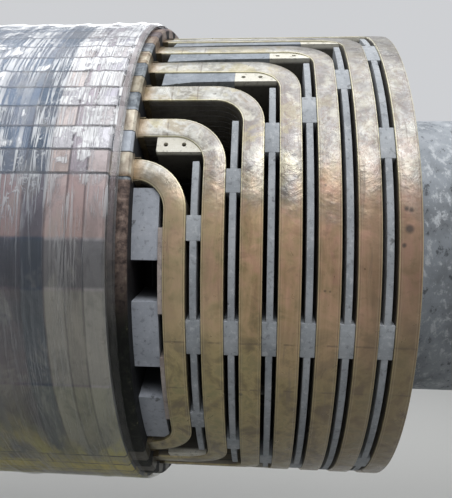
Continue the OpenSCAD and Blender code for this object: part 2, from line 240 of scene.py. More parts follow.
def arc_rings(a0, a1, r1, z0, z1, pole, far):
    """The rings of a curved block between two angles and two distances from the shoulder, up to radius r1."""
    n = max(1, int(abs(a1 - a0) / BLOCK_ARC_STEP))
    rings = []
    for i in range(n + 1):
        a = (a0 + (a1 - a0) * i / n) * D2R
        ring = [(r1, z0), (r1, z1), (BLOCK_IN_R, z1), (BLOCK_IN_R, z0)]
        rings.append([place_end((r * math.cos(a), r * math.sin(a)), z, pole, far) for r, z in ring])
    return rings


def place_end(xy, z, pole, far):
    """A point at a distance outwards from a shoulder, at pole A or B and the far or the coupling end."""
    x, y = xy
    if pole:
        x, y = -x, -y
    zz = BODY_MID + (BODY_LEN / 2 + z) * (1 if far else -1)
    return tuple(to_part((x, y, zz)))


# Materials

class Nodes:
    """Small helper that builds a Principled material."""

    def __init__(self, name):
        self.mat = bpy.data.materials.new(name)
        self.mat.use_nodes = True
        self.t = self.mat.node_tree
        self.bsdf = self.t.nodes["Principled BSDF"]
        tc = self.t.nodes.new("ShaderNodeTexCoord")
        self.obj = tc.outputs["Object"]

    def link(self, a, b):
        self.t.links.new(a, b)

    def put(self, sock, v):
        if v is None:
            return
        if isinstance(v, bpy.types.NodeSocket):
            self.link(v, sock)
        else:
            sock.default_value = v

    def math(self, op, a, b=None, clamp=False):
        n = self.t.nodes.new("ShaderNodeMath")
        n.operation = op
        n.use_clamp = clamp
        for s, v in zip(n.inputs, (a, b)):
            self.put(s, v)
        return n.outputs[0]

    def add(self, a, b, clamp=False):
        return self.math("ADD", a, b, clamp=clamp)

    def sub(self, a, b, clamp=False):
        return self.math("SUBTRACT", a, b, clamp=clamp)

    def mul(self, a, b, clamp=False):
        return self.math("MULTIPLY", a, b, clamp=clamp)

    def max(self, a, b):
        return self.math("MAXIMUM", a, b)

    def abs(self, v):
        return self.math("ABSOLUTE", v)

    def inv(self, v):
        """1 minus v."""
        return self.sub(1.0, v)

    def xyz(self, v=None):
        n = self.t.nodes.new("ShaderNodeSeparateXYZ")
        self.link(v or self.obj, n.inputs[0])
        return n.outputs

    def vec(self, x, y, z):
        n = self.t.nodes.new("ShaderNodeCombineXYZ")
        for s, v in zip(n.inputs, (x, y, z)):
            self.put(s, v)
        return n.outputs[0]

    def attr(self, name):
        n = self.t.nodes.new("ShaderNodeAttribute")
        n.attribute_name = name
        return n.outputs["Fac"]

    def scaled(self, v, s, off=(0, 0, 0)):
        n = self.t.nodes.new("ShaderNodeMapping")
        self.link(v, n.inputs["Vector"])
        n.inputs["Scale"].default_value = s
        n.inputs["Location"].default_value = off
        return n.outputs[0]

    def noise(self, v, scale, detail=3.0, rough=0.5, dist=0.0):
        n = self.t.nodes.new("ShaderNodeTexNoise")
        self.link(v, n.inputs["Vector"])
        n.inputs["Scale"].default_value = scale
        n.inputs["Detail"].default_value = detail
        n.inputs["Roughness"].default_value = rough
        n.inputs["Distortion"].default_value = dist
        return n.outputs["Fac"]

    def voronoi(self, v, scale):
        n = self.t.nodes.new("ShaderNodeTexVoronoi")
        self.link(v, n.inputs["Vector"])
        n.inputs["Scale"].default_value = scale
        return n.outputs["Distance"]

    def chance(self, v):
        """A value from 0 to 1 that is the same wherever v is the same."""
        n = self.t.nodes.new("ShaderNodeTexWhiteNoise")
        self.link(v, n.inputs["Vector"])
        return n.outputs["Value"]

    def line(self, v, at, near, far):
        """1 where v is within near of at, and 0 where it is further off than far."""
        return self.inv(self.step(self.abs(self.sub(v, at)), near, far))

    def thin(self, v, width):
        """Thin lines where a noise crosses its middle value."""
        return self.line(v, 0.5, width * 0.35, width)

    def band(self, v, lo, hi, soft):
        """1 between lo and hi, with soft edges."""
        a = self.math("MINIMUM", self.math("DIVIDE", self.sub(v, lo), soft), 1.0)
        b = self.math("MINIMUM", self.math("DIVIDE", self.sub(hi, v), soft), 1.0)
        return self.mul(self.max(a, 0.0), self.max(b, 0.0), clamp=True)

    def step(self, v, lo, hi):
        n = self.t.nodes.new("ShaderNodeMapRange")
        n.interpolation_type = "SMOOTHSTEP"
        self.put(n.inputs[0], v)
        n.inputs[1].default_value, n.inputs[2].default_value = lo, hi
        return n.outputs[0]

    def ramp(self, f, stops):
        n = self.t.nodes.new("ShaderNodeValToRGB")
        self.link(f, n.inputs[0])
        e = n.color_ramp.elements
        while len(e) < len(stops):
            e.new(0.5)
        for el, (p, c) in zip(e, stops):
            el.position = p
            el.color = (*srgb(c), 1.0)
        return n.outputs[0]

    def mix(self, f, a, b, mode="MIX"):
        n = self.t.nodes.new("ShaderNodeMix")
        n.data_type = "RGBA"
        n.blend_type = mode
        self.put(n.inputs[0], f)
        for s, v in ((n.inputs[6], a), (n.inputs[7], b)):
            self.put(s, v if isinstance(v, bpy.types.NodeSocket) else (*srgb(v), 1.0))
        return n.outputs[2]

    def bump(self, h, strength, dist, normal=None):
        n = self.t.nodes.new("ShaderNodeBump")
        n.inputs["Strength"].default_value = strength
        n.inputs["Distance"].default_value = dist
        self.link(h, n.inputs["Height"])
        if normal is not None:
            self.link(normal, n.inputs["Normal"])
        return n.outputs[0]

    def done(self, color, rough, metallic=0.0, normal=None, **more):
        self.put(self.bsdf.inputs["Base Color"], color)
        self.put(self.bsdf.inputs["Roughness"], rough)
        self.put(self.bsdf.inputs["Metallic"], metallic)
        if normal is not None:
            self.link(normal, self.bsdf.inputs["Normal"])
        for key, v in more.items():
            self.put(self.bsdf.inputs[key.replace("_", " ")], v)
        return self.mat


def srgb(c):
    """A colour written as three 0 to 255 display values, in linear light."""
    shares = [v / 255 for v in c]
    return tuple((s / 12.92 if s <= 0.04045 else ((s + 0.055) / 1.055) ** 2.4) for s in shares)


# Brazed seams across the end turns, in degrees below pole A, and across the legs, out from the shoulder
SEAMS = (0.8, 11.0)
LEG_SEAMS = (0.081, 0.125)
# Burnt spots: distance from the shoulder, degrees below the middle of pole A, radius
BURNS = (
    (0.460, -24.4, 0.006), (0.467, -24.2, 0.006), (0.464, -20.8, 0.010), (0.456, -17.9, 0.005),
    (0.338, -9.6, 0.003), (0.346, -9.5, 0.003),
)
# The fields of the pole face, tan, slate, olive and low, between degrees below pole A
FIELDS = (-29.3, -18.0, -9.6, 8.5, 75.0)


def copper_palettes(m, patch, cloud, mottle, outer, out):
    """The copper's three colours: tan where it faces the front, a silvery painted sheen with painted glints
    for the top, and olive darkened as painted shade for below.
    """
    bend = m.attr("bend")
    tan = m.ramp(patch, [
        (0.36, (126, 96, 64)), (0.46, (170, 140, 100)), (0.54, (190, 158, 120)), (0.64, (154, 132, 92)),
    ])
    tint = m.ramp(cloud, [(0.40, (142, 128, 80)), (0.50, (178, 146, 108)), (0.60, (198, 150, 126))])
    tan = m.mix(0.5, tan, tint)
    tan = m.mix(m.sub(0.40, m.mul(m.step(out, 0.12, 0.24), 0.40)), tan, (166, 154, 124))
    tan = m.mix(m.mul(outer, 0.36), tan, (158, 114, 104))
    tan = m.mix(m.mul(m.step(out, 0.35, 0.45), 0.34), tan, (98, 74, 60))
    # Silvery palette: painted sheen, standing in for the light on the copper's top
    silver_sheen = m.ramp(cloud, [
        (0.37, (94, 93, 88)), (0.47, (124, 126, 122)), (0.55, (156, 160, 158)), (0.64, (124, 120, 104)),
    ])
    silver_sheen = m.mix(m.mul(m.step(mottle, 0.46, 0.66), 0.50), silver_sheen, (206, 208, 204))
    # A darker grey on the bends, which dims the painted sheen there
    rubbed = m.sub(0.78, m.mul(outer, 0.38))
    rubbed = m.mul(rubbed, m.add(0.72, m.mul(m.step(patch, 0.42, 0.58), 0.5)))
    silver_sheen = m.mix(m.mul(bend, rubbed), silver_sheen, (84, 84, 92))
    # Painted glints: bright patches on the bends of the top
    glint = m.step(m.noise(m.obj, 30.0, 4, 0.6, 0.5), 0.46, 0.62)
    glint = m.mul(glint, m.sub(0.42, m.mul(outer, 0.24)))
    silver_sheen = m.mix(m.mul(glint, bend), silver_sheen, (226, 226, 208))
    shifted = m.scaled(m.obj, (1.0, 1.0, 1.0), (2.0, 0.0, 5.0))
    khaki = m.step(m.noise(shifted, 21.0, 4, 0.6, 0.6), 0.50, 0.62)
    khaki = m.mul(khaki, m.sub(0.50, m.mul(outer, 0.36)))
    silver_sheen = m.mix(khaki, silver_sheen, (150, 142, 96))
    scrawl = m.thin(m.noise(m.obj, 44.0, 4, 0.62, 0.9), 0.034)
    silver_sheen = m.mix(m.mul(scrawl, m.add(0.12, m.mul(bend, 0.40))), silver_sheen, (92, 78, 74))
    # Olive palette, darkened for the underside: the copper's olive tone with painted shade
    olive = m.ramp(cloud, [
        (0.38, (80, 68, 36)), (0.47, (112, 100, 54)), (0.54, (136, 124, 74)), (0.62, (108, 106, 56)),
    ])
    olive = m.mix(m.mul(outer, 0.55), olive, (72, 56, 36))
    return tan, silver_sheen, olive


def copper_seams(m, uv, ang, out, top):
    """Brazed seams across the end turns and the legs, dark and broken."""
    waver = m.mul(m.sub(m.noise(uv, 30.0, 2), 0.5), 0.5)
    turn_seams = [m.inv(m.step(m.abs(m.add(m.sub(ang, at), waver)), 0.10, 0.26)) for at in SEAMS]
    on_leg = m.inv(m.step(m.attr("bend"), 0.0, 0.2))
    leg_seams = [m.mul(m.line(out, at, 0.0008, 0.0020), on_leg) for at in LEG_SEAMS]
    seam = turn_seams[0]
    for near in turn_seams[1:] + leg_seams:
        seam = m.max(seam, near)
    broken = m.step(m.noise(m.scaled(uv, (3.0, 60.0, 0.0)), 1.0, 2), 0.36, 0.52)
    return m.mul(seam, m.mul(top, broken))


def copper_rims(m, col, uv, lat, top, top_sheen, low_olive_and_shade):
    """The copper's colour with a rubbed band, a dark line and a pale rim along each edge; the pale rim is a
    painted highlight, brighter on the painted sheen and fainter in the painted shade.
    """
    edge = m.abs(lat)
    wander = m.mul(m.sub(m.noise(m.scaled(uv, (30.0, 40.0, 0.0)), 1.0, 3), 0.5), 0.10)
    rub = m.mul(m.band(m.add(edge, wander), 0.66, 0.80, 0.05), top)
    line = m.mul(m.band(edge, 0.79, 0.855, 0.02), top)
    # Pale rim: a painted highlight along each edge
    rim = m.mul(m.step(edge, 0.88, 0.93), top)
    col = m.mix(m.mul(rub, 0.10), col, (204, 190, 160))
    col = m.mix(m.mul(line, 0.50), col, (84, 68, 44))
    rim_highlight_col = m.mix(top_sheen, (204, 192, 150), (208, 200, 160))
    return m.mix(m.mul(rim, m.sub(0.56, m.mul(low_olive_and_shade, 0.34))), col, rim_highlight_col)


def copper_dots(m, uv, x, y, ang, mottle, top):
    """Small dark dots, and the burnt spots on the outer end turns."""
    cells = m.voronoi(m.scaled(uv, (30.0, 34.0, 0.0)), 1.0)
    rare = m.step(m.noise(m.scaled(uv, (6.0, 20.0, 0.0), (5.0, 2.0, 0.0)), 1.0, 2), 0.58, 0.62)
    dot = m.mul(m.mul(m.inv(m.step(cells, 0.08, 0.15)), rare), top)
    for far_by, turned, size in BURNS:
        off_x = m.sub(x, SHOULDER + far_by)
        off_turn = m.mul(m.sub(ang, turned), WIND_R * D2R)
        off = m.math("SQRT", m.add(m.math("POWER", off_x, 2.0), m.math("POWER", off_turn, 2.0)))
        burn = m.inv(m.step(m.add(off, m.mul(mottle, 0.004)), size * 0.5, size + 0.002))
        dot = m.max(dot, m.mul(m.mul(burn, top), m.step(y, 0.0, -0.1)))
    return dot


def copper_material():
    """Old copper: patches, a silvery painted sheen on top and painted shade below, rims with a painted
    highlight, brazed seams and dots, and insulated turns on its sides, painted dark as shade.
    """
    m = Nodes("copper_strap_aged")
    lat, dep = m.attr("lat"), m.attr("dep")
    x, ang, _, y, z = angle_of(m)
    uv = m.vec(m.attr("along"), m.mul(lat, STRAP_W / 2), m.mul(dep, COIL_DEPTH))
    patch = m.noise(m.scaled(uv, (5.0, 30.0, 10.0)), 1.0, 5, 0.62, 0.6)
    cloud = m.noise(m.obj, 24.0, 5, 0.62, 0.5)
    mottle = m.noise(m.obj, 75.0, 4, 0.6, 0.3)
    out = m.sub(m.abs(m.sub(x, BODY_MID)), BODY_LEN / 2)
    outer = m.step(out, 0.16, 0.46)
    height = m.add(z, m.mul(m.sub(m.noise(m.obj, 9.0, 4, 0.6, 0.6), 0.5), 0.24))
    height = m.add(height, m.mul(m.band(out, 0.03, 0.37, 0.02), 0.03))
    # The top of the winding, where the copper takes the silvery painted sheen
    top_sheen = m.step(height, 0.05, 0.17)
    # Darker olive towards the bottom: partly the copper's olive tone, partly painted shade
    low_olive_and_shade = m.inv(m.step(height, -0.19, -0.01))
    top = m.inv(m.step(dep, 0.012, 0.03))
    side = m.step(dep, 0.02, 0.04)

    col, silver_sheen, olive = copper_palettes(m, patch, cloud, mottle, outer, out)
    col = m.mix(m.mul(top_sheen, 0.88), col, silver_sheen)
    col = m.mix(m.mul(low_olive_and_shade, 0.86), col, olive)
    col = m.mix(m.mul(m.step(mottle, 0.55, 0.70), 0.28), col, (98, 84, 56))
    runs = m.scaled(uv, (7.0, 60.0, 10.0), (3.1, 0.0, 0.0))
    stain = m.step(m.noise(runs, 1.0, 5, 0.62, 0.9), 0.59, 0.70)
    col = m.mix(m.mul(stain, 0.42), col, (84, 64, 42))
    seam = copper_seams(m, uv, ang, out, top)
    col = m.mix(m.mul(seam, 0.50), col, (70, 54, 36))
    col = copper_rims(m, col, uv, lat, top, top_sheen, low_olive_and_shade)
    dot = copper_dots(m, uv, x, y, ang, mottle, top)
    col = m.mix(m.mul(dot, 0.80), col, (44, 36, 32))
    golden = m.mul(m.inv(m.step(out, SEAT_LEN + 0.004, SEAT_LEN + 0.024)), top)
    # Near-black on the underside: painted shade over the golden leg ends
    golden_or_low_shade = m.mix(m.step(z, -0.30, -0.10), (36, 34, 28), (150, 122, 82))
    col = m.mix(m.mul(golden, 0.60), col, golden_or_low_shade)
    turn_at = m.math("FRACT", m.add(m.mul(dep, float(TURNS)), 0.5))
    ply = m.line(turn_at, 0.5, 0.06, 0.12)
    # The sides are painted dark brown: the turns' insulation, with painted shade for the narrow gaps between
    # coils
    col = m.mix(m.mul(side, 0.80), col, m.mix(cloud, (42, 40, 36), (76, 68, 56)))
    col = m.mix(m.mul(m.mul(ply, side), 0.85), col, (32, 28, 22))

    handled = m.noise(m.scaled(m.obj, (40.0, 30.0, 30.0)), 1.0, 3, 0.55, 0.6)
    rough = m.add(0.12, m.mul(handled, 0.46))
    rough = m.add(rough, m.mul(stain, 0.12))
    rough = m.add(rough, m.mul(side, 0.24))
    dents = m.noise(m.scaled(uv, (26.0, 20.0, 0.0), (2.0, 5.0, 0.0)), 1.0, 3, 0.5, 0.4)
    relief = m.add(m.mul(patch, 0.5), m.add(m.mul(dents, 1.1), m.mul(mottle, 0.25)))
    relief = m.sub(relief, m.mul(seam, 0.15))
    crinkle = m.noise(m.obj, 52.0, 3, 0.6, 0.8)
    relief = m.add(relief, m.mul(crinkle, m.mul(top_sheen, m.add(0.25, m.mul(m.attr("bend"), 0.7)))))
    fine = m.noise(m.scaled(uv, (16.0, 900.0, 300.0)), 1.0, 3, 0.6)
    bump = m.bump(relief, 0.34, 0.005)
    bump = m.bump(fine, 0.08, 0.0004, bump)
    metal = m.sub(0.55, m.add(m.mul(stain, 0.2), m.mul(side, 0.4)), clamp=True)
    return m.done(col, rough, metal, bump, IOR=1.9, Coat_Weight=0.3, Coat_Roughness=0.2)


def angle_of(m):
    """The place along the shaft, the turn about it in degrees below pole A, the radius, and Y and Z."""
    x, y, z = m.xyz()
    ang = m.math("ARCTAN2", m.mul(z, -1.0), m.mul(y, -1.0))
    ang = m.sub(m.mul(ang, 180 / math.pi), DROOP)
    r = m.math("SQRT", m.add(m.mul(y, y), m.mul(z, z)))
    return x, ang, r, y, z


def from_shoulder(m, x):
    """Distance from the nearer shoulder, more than 0 on the body."""
    return m.sub(BODY_LEN / 2, m.abs(m.sub(x, BODY_MID)))


# Distances in from the shoulder at which the body's rings meet: pale, streaked, pale, dark and the rest
RINGS = (0.034, 0.063, 0.096, 0.134)
# Where the bared slot ends carry a painted highlight, and where they are dull, in degrees below the middle of
# pole A
HIGHLIGHT_ENDS, DULL_ENDS = (-43.6, -29.3), (-53.0, -46.0)
# The length of the patches in which the film lies flat and mirrors the light alike
FLAT_PATCH = 0.052


def slot_tiles(m, ang):
    """The dark edges of the slot wedges, where wedges lie, and a number for each slot."""
    half_turn = m.abs(ang)
    folded = m.math("MINIMUM", half_turn, m.abs(m.sub(180.0, half_turn)))
    place = m.math("DIVIDE", m.sub(folded, leg_angle(1) - SLOT_STEP / 2), SLOT_STEP)
    from_slot = m.mul(m.abs(m.sub(m.math("FRACT", place), 0.5)), SLOT_STEP)
    off = m.abs(m.sub(from_slot, WEDGE_HALF_ANGLE))
    slotted = m.step(folded, leg_angle(1) - 3.2, leg_angle(1) - 2.9)
    edge = m.mul(m.inv(m.step(off, 0.14, 0.36)), slotted)
    wedge = m.mul(m.math("LESS_THAN", from_slot, WEDGE_HALF_ANGLE), slotted)
    number = m.add(m.math("FLOOR", place), m.mul(m.math("GREATER_THAN", ang, 0.0), 11.0))
    return edge, wedge, number


def body_tints(m, x, ang, inside, z):
    """The body's own colour under the film: rings round it, tiles at the slots and bands of tone across the
    pole faces, with painted light that makes the top lighter and bluer.
    """
    cloud = m.noise(m.obj, 7.0, 5, 0.6, 0.3)
    grain = m.noise(m.obj, 90.0, 4, 0.65)
    col = m.ramp(cloud, [
        (0.32, (74, 78, 92)), (0.45, (92, 90, 102)), (0.56, (104, 94, 102)), (0.70, (90, 94, 108)),
    ])
    soft = m.mul(m.sub(m.noise(m.obj, 12.0, 4, 0.6), 0.5), 0.006)
    at = m.add(inside, soft)
    # lit marks the upper side; the colours that follow it are painted light, and the ring lines are drawn
    # stronger there
    lit = m.step(z, -0.04, 0.14)
    slot_edge, wedge, number = slot_tiles(m, ang)
    first, second = m.band(at, -0.06, RINGS[0], 0.002), m.band(at, RINGS[1], RINGS[2], 0.002)
    rows = m.max(first, m.mul(second, 0.80))
    far = m.step(at, RINGS[2] - 0.001, RINGS[2] + 0.001)
    # Painted reflection: bluish on the top beyond the rows
    col = m.mix(m.mul(m.mul(far, lit), 0.70), col, (104, 126, 150))
    col = m.mix(m.mul(rows, 0.64), col, (198, 192, 190))
    # Painted glare: the row tiles turn pale, near white, on the top
    pale = m.mix(m.chance(m.vec(number, wedge, 0.0)), (176, 172, 186), (248, 248, 251))
    warm = m.sub(0.85, m.add(m.mul(first, 0.25), m.mul(m.step(z, 0.04, 0.24), 0.45)))
    pale = m.mix(m.mul(wedge, warm), pale, (232, 200, 182))
    col = m.mix(m.mul(m.mul(rows, lit), 0.95), col, pale)
    gap = m.band(at, RINGS[0], RINGS[1], 0.002)
    # The gap between rows is lighter on the top: painted light
    col = m.mix(m.mul(gap, 0.66), col, m.mix(lit, (148, 138, 138), (196, 186, 196)))
    teal = m.band(at, RINGS[2], RINGS[3], 0.003)
    col = m.mix(m.mul(teal, 0.72), col, (58, 74, 92))
    tan = m.mul(m.band(ang, FIELDS[0], FIELDS[1], 0.5), m.inv(m.mul(teal, 0.6)))
    col = m.mix(m.mul(tan, 0.56), col, (212, 176, 164))
    slate = m.band(ang, FIELDS[1], FIELDS[2], 0.5)
    col = m.mix(m.mul(slate, 0.62), col, (78, 82, 88))
    olive = m.mul(m.band(ang, FIELDS[2], FIELDS[3], 0.5), m.inv(m.mul(far, 0.6)))
    col = m.mix(m.mul(olive, 0.55), col, (150, 150, 136))
    low = m.band(ang, FIELDS[3], FIELDS[4], 0.5)
    drips = m.noise(m.scaled(m.obj, (14.0, 5.0, 5.0)), 1.0, 4, 0.6, 0.5)
    yellow = m.mul(m.step(m.add(drips, m.mul(ang, 0.006)), 0.54, 0.76), m.step(ang, 10.0, 34.0))
    col = m.mix(m.mul(low, m.sub(0.66, m.mul(far, 0.36))), col, (154, 156, 130))
    col = m.mix(m.mul(m.mul(low, yellow), 0.80), col, (208, 198, 106))
    pooled = m.band(m.add(ang, m.mul(m.sub(drips, 0.5), 8.0)), 31.5, 41.0, 1.4)
    col = m.mix(m.mul(pooled, 0.92), col, (224, 208, 100))
    shown = m.add(0.55, m.mul(rows, 0.45))
    col = m.mix(m.mul(slot_edge, shown), col, (16, 18, 24))
    for place in RINGS:
        ring = m.line(inside, place, 0.0010, 0.0028)
        col = m.mix(m.mul(ring, m.add(0.26, m.mul(lit, 0.32))), col, (44, 40, 50))
    smudge = m.noise(m.scaled(m.obj, (17.0, 8.0, 8.0)), 1.0, 5, 0.66, 0.7)
    col = m.mix(m.mul(m.step(smudge, 0.50, 0.63), 0.34), col, (58, 62, 66))
    col = m.mix(m.mul(m.inv(m.step(smudge, 0.38, 0.49)), 0.26), col, (182, 178, 166))
    return m.mix(m.mul(m.step(grain, 0.56, 0.72), 0.25), col, (74, 66, 64))


def root_tints(m, inside, cyl, grain):
    """The shaft beside the body: painted near-black under the end turns as shade, bare and scuffed beyond
    them.
    """
    # Near-black under the end turns: painted shade
    root = m.ramp(grain, [(0.35, (17, 19, 22)), (0.55, (27, 29, 33)), (0.75, (40, 40, 42))])
    worn = m.noise(m.obj, 6.0, 4, 0.6)
    bare = m.ramp(worn, [(0.36, (118, 122, 126)), (0.5, (150, 156, 162)), (0.64, (172, 177, 183))])
    scuff = m.noise(m.scaled(cyl, (60.0, 22.0, 20.0)), 1.0, 6, 0.72, 0.2)
    bare = m.mix(m.step(scuff, 0.52, 0.66), bare, (196, 200, 204))
    bare = m.mix(m.mul(m.inv(m.step(scuff, 0.34, 0.44)), 0.7), bare, (52, 54, 58))
    return m.mix(m.mul(m.inv(m.step(inside, -0.50, -0.47)), 0.90), root, bare)


def seat_tints(m, ang, r, z, blotch):
    """The ring seat: brown on the upper side of the pole, almost black below as dirt and painted shade, grey
    and pale between slots, the pale a painted highlight.
    """
    dark_seat = m.ramp(blotch, [
        (0.36, (3, 4, 3)), (0.50, (10, 13, 11)), (0.62, (26, 29, 22)), (0.74, (92, 90, 72)),
    ])
    brown_seat = m.ramp(blotch, [
        (0.34, (52, 45, 44)), (0.48, (104, 90, 84)), (0.60, (138, 120, 110)), (0.76, (176, 165, 152)),
    ])
    tooth_seat = m.ramp(blotch, [
        (0.34, (86, 92, 98)), (0.48, (120, 126, 132)), (0.62, (150, 156, 160)), (0.78, (100, 90, 80)),
    ])
    # Painted highlight on the bared tooth ends
    tooth_seat = m.mix(m.mul(m.band(ang, *HIGHLIGHT_ENDS, 0.8), 0.44), tooth_seat, (210, 216, 226))
    crown = m.mul(m.step(z, 0.36, 0.44), 0.75)
    tooth_seat = m.mix(crown, tooth_seat, (104, 84, 82))
    # Brown above and near black below: partly dirt, partly painted shade on the underside
    up_side = m.inv(m.step(m.add(ang, m.mul(blotch, 14.0)), -12.0, 6.0))
    seat = m.mix(up_side, dark_seat, brown_seat)
    toothed = m.mul(m.step(m.abs(ang), 28.4, 28.8), m.inv(m.step(m.sub(ang, 60.0), 0.0, 20.0)))
    seat = m.mix(m.mul(toothed, up_side), seat, tooth_seat)
    seat = m.mix(m.mul(slot_tiles(m, ang)[0], 0.9), seat, (14, 13, 13))
    # Near-black below the seat's surface, in the slots and on its step: painted shade
    return m.mix(m.mul(m.inv(m.step(r, 0.513, 0.518)), 0.92), seat, (24, 25, 28))


def steel_material():
    """The forging: body, seats, shaft, journals and flange are told apart by their place along the shaft."""
    m = Nodes("forged_steel_rotor")
    x, ang, r, _, z = angle_of(m)
    cyl = m.vec(x, m.mul(ang, 0.009), r)
    brush = m.noise(m.scaled(cyl, (420.0, 7.0, 60.0)), 1.0, 3, 0.6)
    grain = m.noise(m.obj, 90.0, 4, 0.65)
    inside = from_shoulder(m, x)
    body = body_tints(m, x, ang, inside, z)
    oiled = m.noise(m.obj, 5.0, 4, 0.55)
    shaft = m.ramp(oiled, [(0.35, (98, 100, 104)), (0.5, (124, 126, 130)), (0.68, (146, 146, 146))])
    shaft = m.mix(m.mul(m.step(brush, 0.55, 0.75), 0.25), shaft, (172, 172, 172))
    under = m.mul(m.step(inside, -ROOT_LEN, 0.01 - ROOT_LEN), m.inv(m.step(inside, -0.036, -0.030)))
    blotch = m.noise(m.obj, 75.0, 5, 0.72, 0.1)
    on_seat = m.band(inside, -0.0335, 0.0005, 0.001)
    col = m.mix(m.step(inside, 0.0, 0.001), shaft, body)
    # The shaft under the end turns takes the painted shade
    col = m.mix(under, col, root_tints(m, inside, cyl, grain))
    col = m.mix(on_seat, col, seat_tints(m, ang, r, z, blotch))
    rusty = m.step(m.noise(m.obj, 3.0, 5, 0.6, 0.5), 0.58, 0.70)
    rusty = m.mul(rusty, m.inv(m.step(inside, -ROOT_LEN - 0.02, -ROOT_LEN)))
    col = m.mix(m.mul(rusty, 0.45), col, (112, 80, 58))
    rough = m.add(0.30, m.mul(grain, 0.22))
    rough = m.add(rough, m.mul(under, 0.25))
    rough = m.add(rough, m.mul(on_seat, 0.2))
    dull = m.add(m.mul(under, 0.65), m.mul(on_seat, 0.45))
    dull = m.add(dull, m.mul(m.step(inside, 0.0, 0.001), 0.30))
    metal = m.sub(0.85, dull, clamp=True)
    relief = m.add(m.mul(brush, m.inv(on_seat)), m.add(m.mul(grain, 0.6), m.mul(m.mul(blotch, on_seat), 3.0)))
    bump = m.bump(relief, 0.25, 0.0010)
    return m.done(col, rough, metal, bump, IOR=1.3)


def wedge_material():
    """Bronze slot wedges with dirt and cross joints: the body's tints under the film, bare on the seat, with
    a painted highlight on some ends and painted shade below.
    """
    m = Nodes("wedge_bronze_aged")
    x, ang, _, _, z = angle_of(m)
    inside = from_shoulder(m, x)
    cloud = m.noise(m.obj, 9.0, 4, 0.6, 0.3)
    grain = m.noise(m.scaled(m.obj, (20.0, 160.0, 160.0)), 1.0, 3, 0.6)
    worn = m.ramp(cloud, [
        (0.30, (108, 96, 90)), (0.48, (136, 124, 116)), (0.64, (150, 140, 130)), (0.8, (124, 120, 118)),
    ])
    col = m.mix(0.22, body_tints(m, x, ang, inside, z), worn)
    bare = m.ramp(m.noise(m.obj, 60.0, 4, 0.6, 0.4), [
        (0.32, (92, 72, 52)), (0.48, (148, 134, 114)), (0.62, (188, 182, 164)), (0.8, (138, 122, 100)),
    ])
    # Painted highlight on the bared wedge ends
    bare = m.mix(m.mul(m.band(ang, *HIGHLIGHT_ENDS, 0.8), 0.30), bare, (214, 208, 196))
    bare = m.mix(m.mul(m.band(ang, *DULL_ENDS, 0.8), 0.60), bare, (104, 98, 84))
    bare = m.mix(m.mul(m.step(z, 0.34, 0.44), 0.7), bare, (122, 98, 92))
    # Near-black wedge ends on the underside: painted shade
    bare = m.mix(m.mul(m.inv(m.step(z, -0.30, -0.16)), 0.88), bare, (28, 29, 24))
    col = m.mix(m.inv(m.step(inside, -0.001, 0.001)), col, bare)
    dirt = m.step(m.noise(m.obj, 70.0, 5, 0.7, 0.5), 0.55, 0.72)
    col = m.mix(m.mul(dirt, 0.45), col, (62, 50, 40))
    joint = m.math("FRACT", m.math("DIVIDE", m.sub(inside, 0.05), 0.2))
    line = m.line(joint, 0.5, 0.0035, 0.006)
    col = m.mix(m.mul(line, 0.9), col, (30, 26, 24))
    bump = m.bump(m.sub(grain, m.mul(line, 2.0)), 0.2, 0.001)
    return m.done(col, m.add(0.32, m.mul(cloud, 0.25)), 0.55, bump)


def laminate_material(name, dark, mid, light, speck, rough=0.62, top_r=0.0, side_shade=(34, 35, 37), fade=0.045):
    """Glass laminate with cloth, specks and worn patches, darker down its sides as painted shade, over fade
    below top_r.
    """
    m = Nodes(name)
    cloud = m.noise(m.obj, 16.0, 4, 0.6, 0.2)
    fine = m.noise(m.obj, 190.0, 4, 0.65)
    warp, weft = (m.t.nodes.new("ShaderNodeTexWave") for _ in range(2))
    for w, axis in ((warp, "X"), (weft, "Z")):
        m.link(m.obj, w.inputs["Vector"])
        w.bands_direction = axis
        w.inputs["Scale"].default_value = 90.0
        w.inputs["Distortion"].default_value = 1.5
    cloth = m.max(warp.outputs["Fac"], weft.outputs["Fac"])
    col = m.ramp(cloud, [(0.32, dark), (0.5, mid), (0.7, light)])
    col = m.mix(m.mul(m.step(fine, 0.60, 0.72), 0.35), col, speck)
    spot = m.step(m.noise(m.obj, 60.0, 2, 0.5, 0.1), 0.68, 0.73)
    col = m.mix(m.mul(spot, 0.6), col, (50, 46, 44))
    col = m.mix(m.mul(cloth, 0.08), col, light)
    scuff = m.noise(m.obj, 110.0, 4, 0.66, 0.1)
    col = m.mix(m.mul(m.step(scuff, 0.55, 0.66), 0.45), col, speck)
    col = m.mix(m.mul(m.inv(m.step(scuff, 0.34, 0.44)), 0.35), col, (66, 66, 66))
    if top_r:
        x, y, z = m.xyz()
        r = m.math("SQRT", m.add(m.mul(y, y), m.mul(z, z)))
        # Painted shade: the sides darken below the top face
        down = m.inv(m.step(r, top_r - fade, top_r - 0.002))
        col = m.mix(m.mul(down, 0.9), col, side_shade)
    bump = m.bump(m.add(m.mul(cloth, 0.5), fine), 0.18, 0.0006)
    return m.done(col, m.add(rough - 0.08, m.mul(cloud, 0.18)), 0.0, bump, IOR=1.4)


